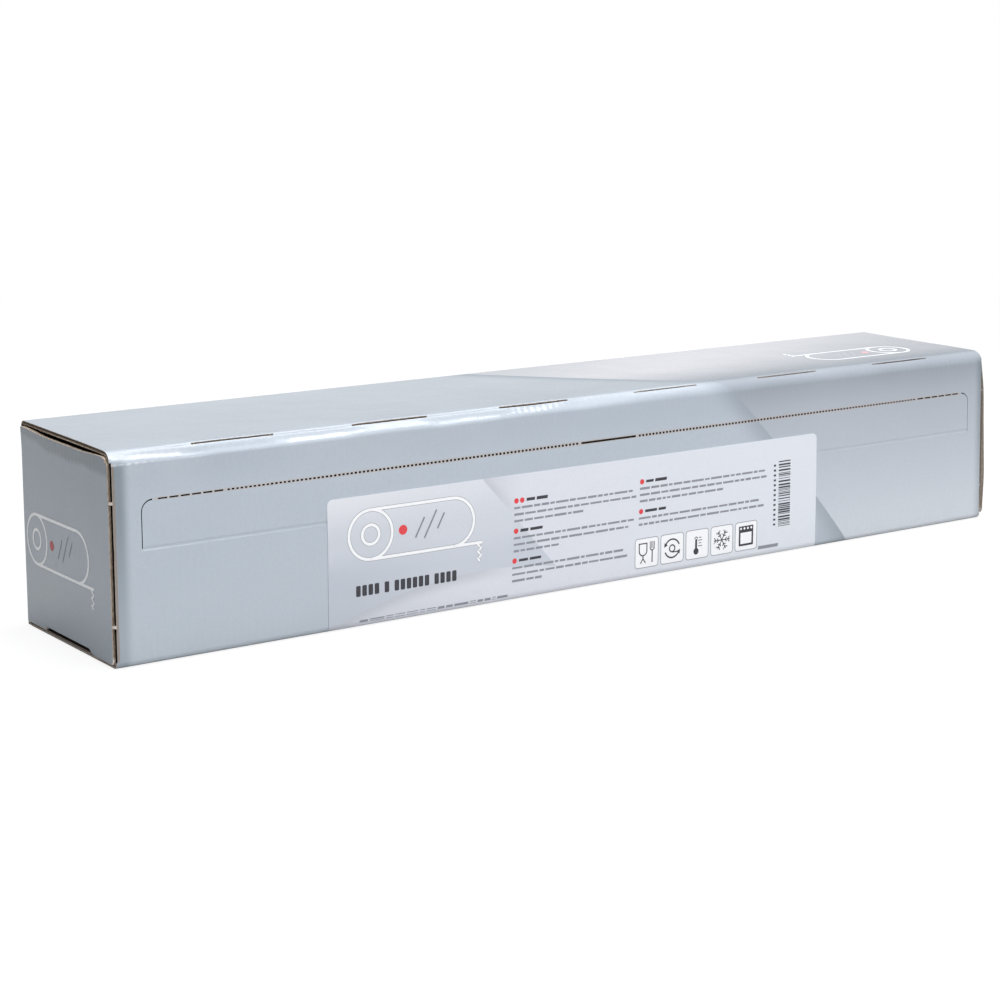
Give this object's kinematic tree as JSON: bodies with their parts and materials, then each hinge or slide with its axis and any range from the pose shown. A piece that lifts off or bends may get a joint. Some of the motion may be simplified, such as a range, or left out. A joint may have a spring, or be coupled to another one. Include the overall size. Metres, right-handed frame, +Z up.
{
  "type": "boxed foil roll",
  "caption": "Long closed carton of fine-fluted board for a wide catering foil roll, with hinged end flaps, a perforated tear-off flap and a paper label.",
  "frame": {"origin": "under the middle of the carton, on the surface that it rests on", "axes": "+X along the carton's length, front panel with the label towards -Y, +Z up"},
  "size_m": [0.458, 0.0842, 0.083],
  "materials": {
    "board": "gloss printed",
    "label_paper": "semi gloss"
  },
  "bodies": {
    "root": {"carton": "board", "label": "label_paper"}
  },
  "joints": []
}
